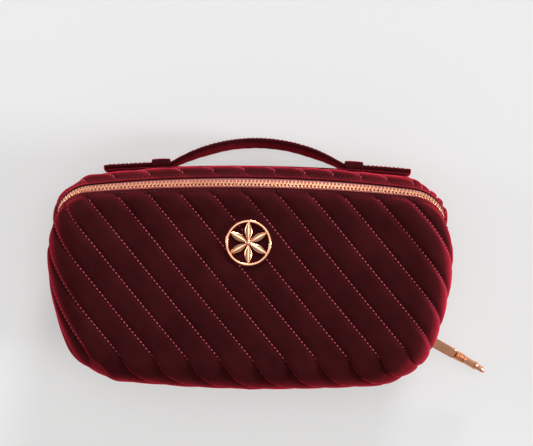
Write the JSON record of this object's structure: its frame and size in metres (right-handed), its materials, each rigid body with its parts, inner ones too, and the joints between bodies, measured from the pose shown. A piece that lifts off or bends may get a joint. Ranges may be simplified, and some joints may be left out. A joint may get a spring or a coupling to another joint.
{
  "type": "makeup bag",
  "caption": "Quilted velvet clamshell makeup bag with a wrap-round zip, top carry strap, fabric hinge, metal badge and stick-shaped zip pull, lying on its back.",
  "frame": {"origin": "middle of the flat back, on the surface that the bag lies on", "axes": "+X to the right of the quilted front, +Y towards the carry strap, +Z out of the quilted front"},
  "size_m": [0.2672, 0.1467, 0.0848],
  "materials": {
    "velvet": "deep burgundy cotton velvet with a short raised pile, diagonal channel quilting in a pink-red thread",
    "wadding": "white needled polyester wadding",
    "board": "grey sheet stiffener",
    "lining": "black satin-weave lining",
    "elastic": "black woven elastic",
    "zip_tape": "dusty rose-brown woven zip tape with a fine rib",
    "rose_gold": "polished rose-gold plating"
  },
  "bodies": {
    "back_half": {"back_shell": "velvet", "back_wadding": "wadding", "back_board": "board", "back_lining": "lining", "back_binding": "lining", "hinge_panel": "velvet", "zip_tape_back": "zip_tape", "zip_teeth_back": "rose_gold", "zip_stop_left": "rose_gold", "zip_stop_right": "rose_gold", "zip_tab_left": "lining", "zip_tab_right": "lining", "handle_base": "velvet", "handle_end_left": "velvet", "handle_end_right": "velvet", "handle_loop_left": "velvet", "handle_loop_right": "velvet", "handle_patch": "board", "inner_pocket": "lining", "pocket_elastic": "elastic"},
    "lid": {"front_shell": "velvet", "front_wadding": "wadding", "front_board": "board", "front_lining": "lining", "front_binding": "lining", "zip_tape_front": "zip_tape", "zip_teeth_front": "rose_gold", "badge": "rose_gold", "badge_backplate": "rose_gold", "brush_band": "elastic"},
    "slider": {"slider_body": "rose_gold", "slider_bridge": "rose_gold"},
    "pull": {"pull_link": "rose_gold", "pull_case": "rose_gold", "pull_collar": "rose_gold", "pull_sleeve": "rose_gold", "pull_bullet": "rose_gold"},
    "handle": {"handle_grip": "velvet"}
  },
  "joints": [
    {"name": "lid_hinge", "type": "hinge", "parent": "back_half", "child": "lid", "pos_m": [0, -0.06268, 0.01533], "axis": [1, 0, 0], "range_deg": [0, 100]},
    {"name": "slider_run", "type": "hinge", "parent": "back_half", "child": "slider", "pos_m": [-0.00832, 0.01077, 0.04471], "axis": [0, -0.3714, 0.9285], "range_deg": [0, 36]},
    {"name": "pull_swing", "type": "hinge", "parent": "slider", "child": "pull", "pos_m": [0.10724, -0.04377, 0.02289], "axis": [0, -0.3714, 0.9285], "range_deg": [-40, 40]},
    {"name": "handle_lean", "type": "hinge", "parent": "back_half", "child": "handle", "pos_m": [0.0034, 0.06028, 0.01591], "axis": [1, 0, 0], "range_deg": [-25, 30]}
  ]
}
